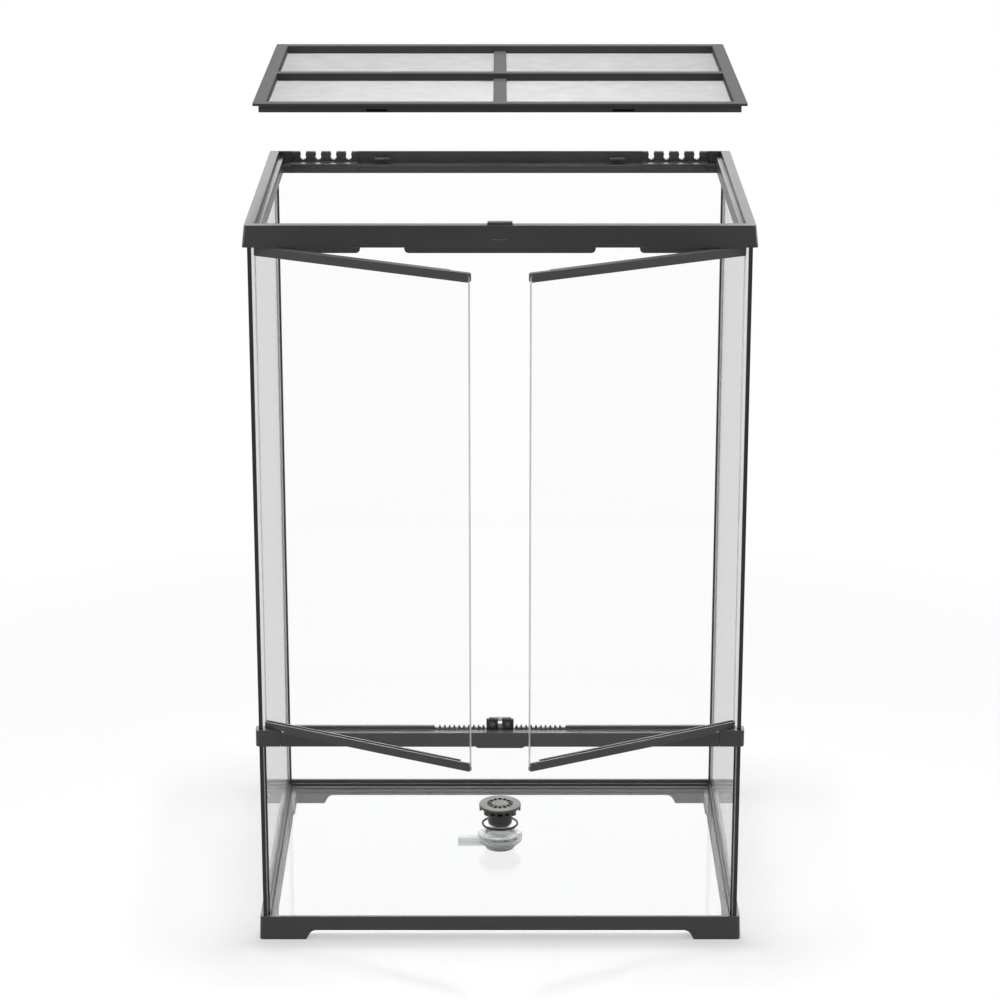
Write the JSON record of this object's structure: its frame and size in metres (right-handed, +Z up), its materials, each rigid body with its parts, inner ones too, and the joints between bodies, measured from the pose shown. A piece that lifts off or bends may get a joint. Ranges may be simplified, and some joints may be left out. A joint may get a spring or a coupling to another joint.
{
  "type": "front-opening glass paludarium",
  "caption": "Tall glass tank with a water section below hinged glass front doors, a screen lid, tube inlets, a door latch and a floor drain with a strainer.",
  "frame": {"origin": "on the floor, under the middle of the object's outline with its doors ajar", "axes": "+Z up, -Y out through the doors, +X to the right of someone who faces the doors"},
  "size_m": [0.612, 0.5839, 1.0678],
  "materials": {
    "clear_glass": "clear float glass with polished edges",
    "dark_plastic": "fine satin moulding",
    "black_plastic": "satin",
    "grey_plastic": "satin",
    "strainer_plastic": "satin",
    "frosted_plastic": "translucent",
    "black_seal": "matte",
    "bright_mesh": "fine woven wire",
    "plated_steel": "bright plated"
  },
  "bodies": {
    "tank": {"base_frame": "dark_plastic", "bottom_glass": "clear_glass", "left_side_glass": "clear_glass", "right_side_glass": "clear_glass", "rear_glass": "clear_glass", "front_lower_glass": "clear_glass", "floor_seal": "black_seal", "rear_left_seal": "black_seal", "rear_right_seal": "black_seal", "front_left_seal": "black_seal", "front_right_seal": "black_seal", "left_lower_edge_trim": "black_seal", "right_lower_edge_trim": "black_seal", "left_upper_edge_trim": "black_seal", "right_upper_edge_trim": "black_seal", "top_rim": "dark_plastic", "mid_rail": "dark_plastic", "left_rail_end": "dark_plastic", "right_rail_end": "dark_plastic", "left_door_catch": "black_plastic", "right_door_catch": "black_plastic", "left_catch_magnet": "plated_steel", "right_catch_magnet": "plated_steel", "latch_bracket": "grey_plastic", "drain_flange": "frosted_plastic", "drain_gasket": "frosted_plastic", "drain_nut": "frosted_plastic", "drain_body": "frosted_plastic"},
    "left_door": {"left_door_glass": "clear_glass", "left_door_top_rail": "dark_plastic", "left_door_bottom_rail": "dark_plastic", "left_door_top_end_cap": "dark_plastic", "left_door_bottom_end_cap": "dark_plastic", "left_door_upper_pin": "plated_steel", "left_door_lower_pin": "plated_steel", "left_door_striker": "plated_steel"},
    "right_door": {"right_door_glass": "clear_glass", "right_door_top_rail": "dark_plastic", "right_door_bottom_rail": "dark_plastic", "right_door_top_end_cap": "dark_plastic", "right_door_bottom_end_cap": "dark_plastic", "right_door_upper_pin": "plated_steel", "right_door_lower_pin": "plated_steel", "right_door_striker": "plated_steel"},
    "lid": {"lid_frame": "dark_plastic", "lid_mesh": "bright_mesh"},
    "lid_latch": {"lid_latch": "dark_plastic"},
    "left_inlet_slider": {"left_inlet_slider": "dark_plastic"},
    "right_inlet_slider": {"right_inlet_slider": "dark_plastic"},
    "door_latch_button": {"door_latch_button": "grey_plastic"},
    "strainer": {"strainer": "strainer_plastic"},
    "o_ring": {"o_ring": "black_seal"}
  },
  "joints": [
    {"name": "left_door_hinge", "type": "hinge", "parent": "tank", "child": "left_door", "pos_m": [-0.2775, -0.158, 0.59], "axis": [0, 0, 1], "range_deg": [-71.8, 28.2]},
    {"name": "right_door_hinge", "type": "hinge", "parent": "tank", "child": "right_door", "pos_m": [0.2775, -0.158, 0.59], "axis": [0, 0, 1], "range_deg": [-28.2, 71.8]},
    {"name": "lid_lift", "type": "slide", "parent": "tank", "child": "lid", "axis": [0, 0, 1], "range_m": [-0.147, 0.05]},
    {"name": "lid_latch_slide", "type": "slide", "parent": "tank", "child": "lid_latch", "axis": [0, 1, 0], "range_m": [0, 0.005]},
    {"name": "left_inlet_slide", "type": "slide", "parent": "tank", "child": "left_inlet_slider", "axis": [1, 0, 0], "range_m": [0, 0.01]},
    {"name": "right_inlet_slide", "type": "slide", "parent": "tank", "child": "right_inlet_slider", "axis": [-1, 0, 0], "range_m": [0, 0.01]},
    {"name": "door_latch_press", "type": "slide", "parent": "tank", "child": "door_latch_button", "axis": [0, 0, -1], "range_m": [0, 0.003], "stiffness_N_per_m": 150},
    {"name": "strainer_lift", "type": "slide", "parent": "tank", "child": "strainer", "axis": [0, 0, 1], "range_m": [-0.0283, 0.03]},
    {"name": "o_ring_lift", "type": "slide", "parent": "tank", "child": "o_ring", "axis": [0, 0, 1], "range_m": [-0.0088, 0.01]}
  ],
  "couplings": [
    {"joint": "o_ring_lift", "follows": "strainer_lift", "ratio": 0.31}
  ]
}
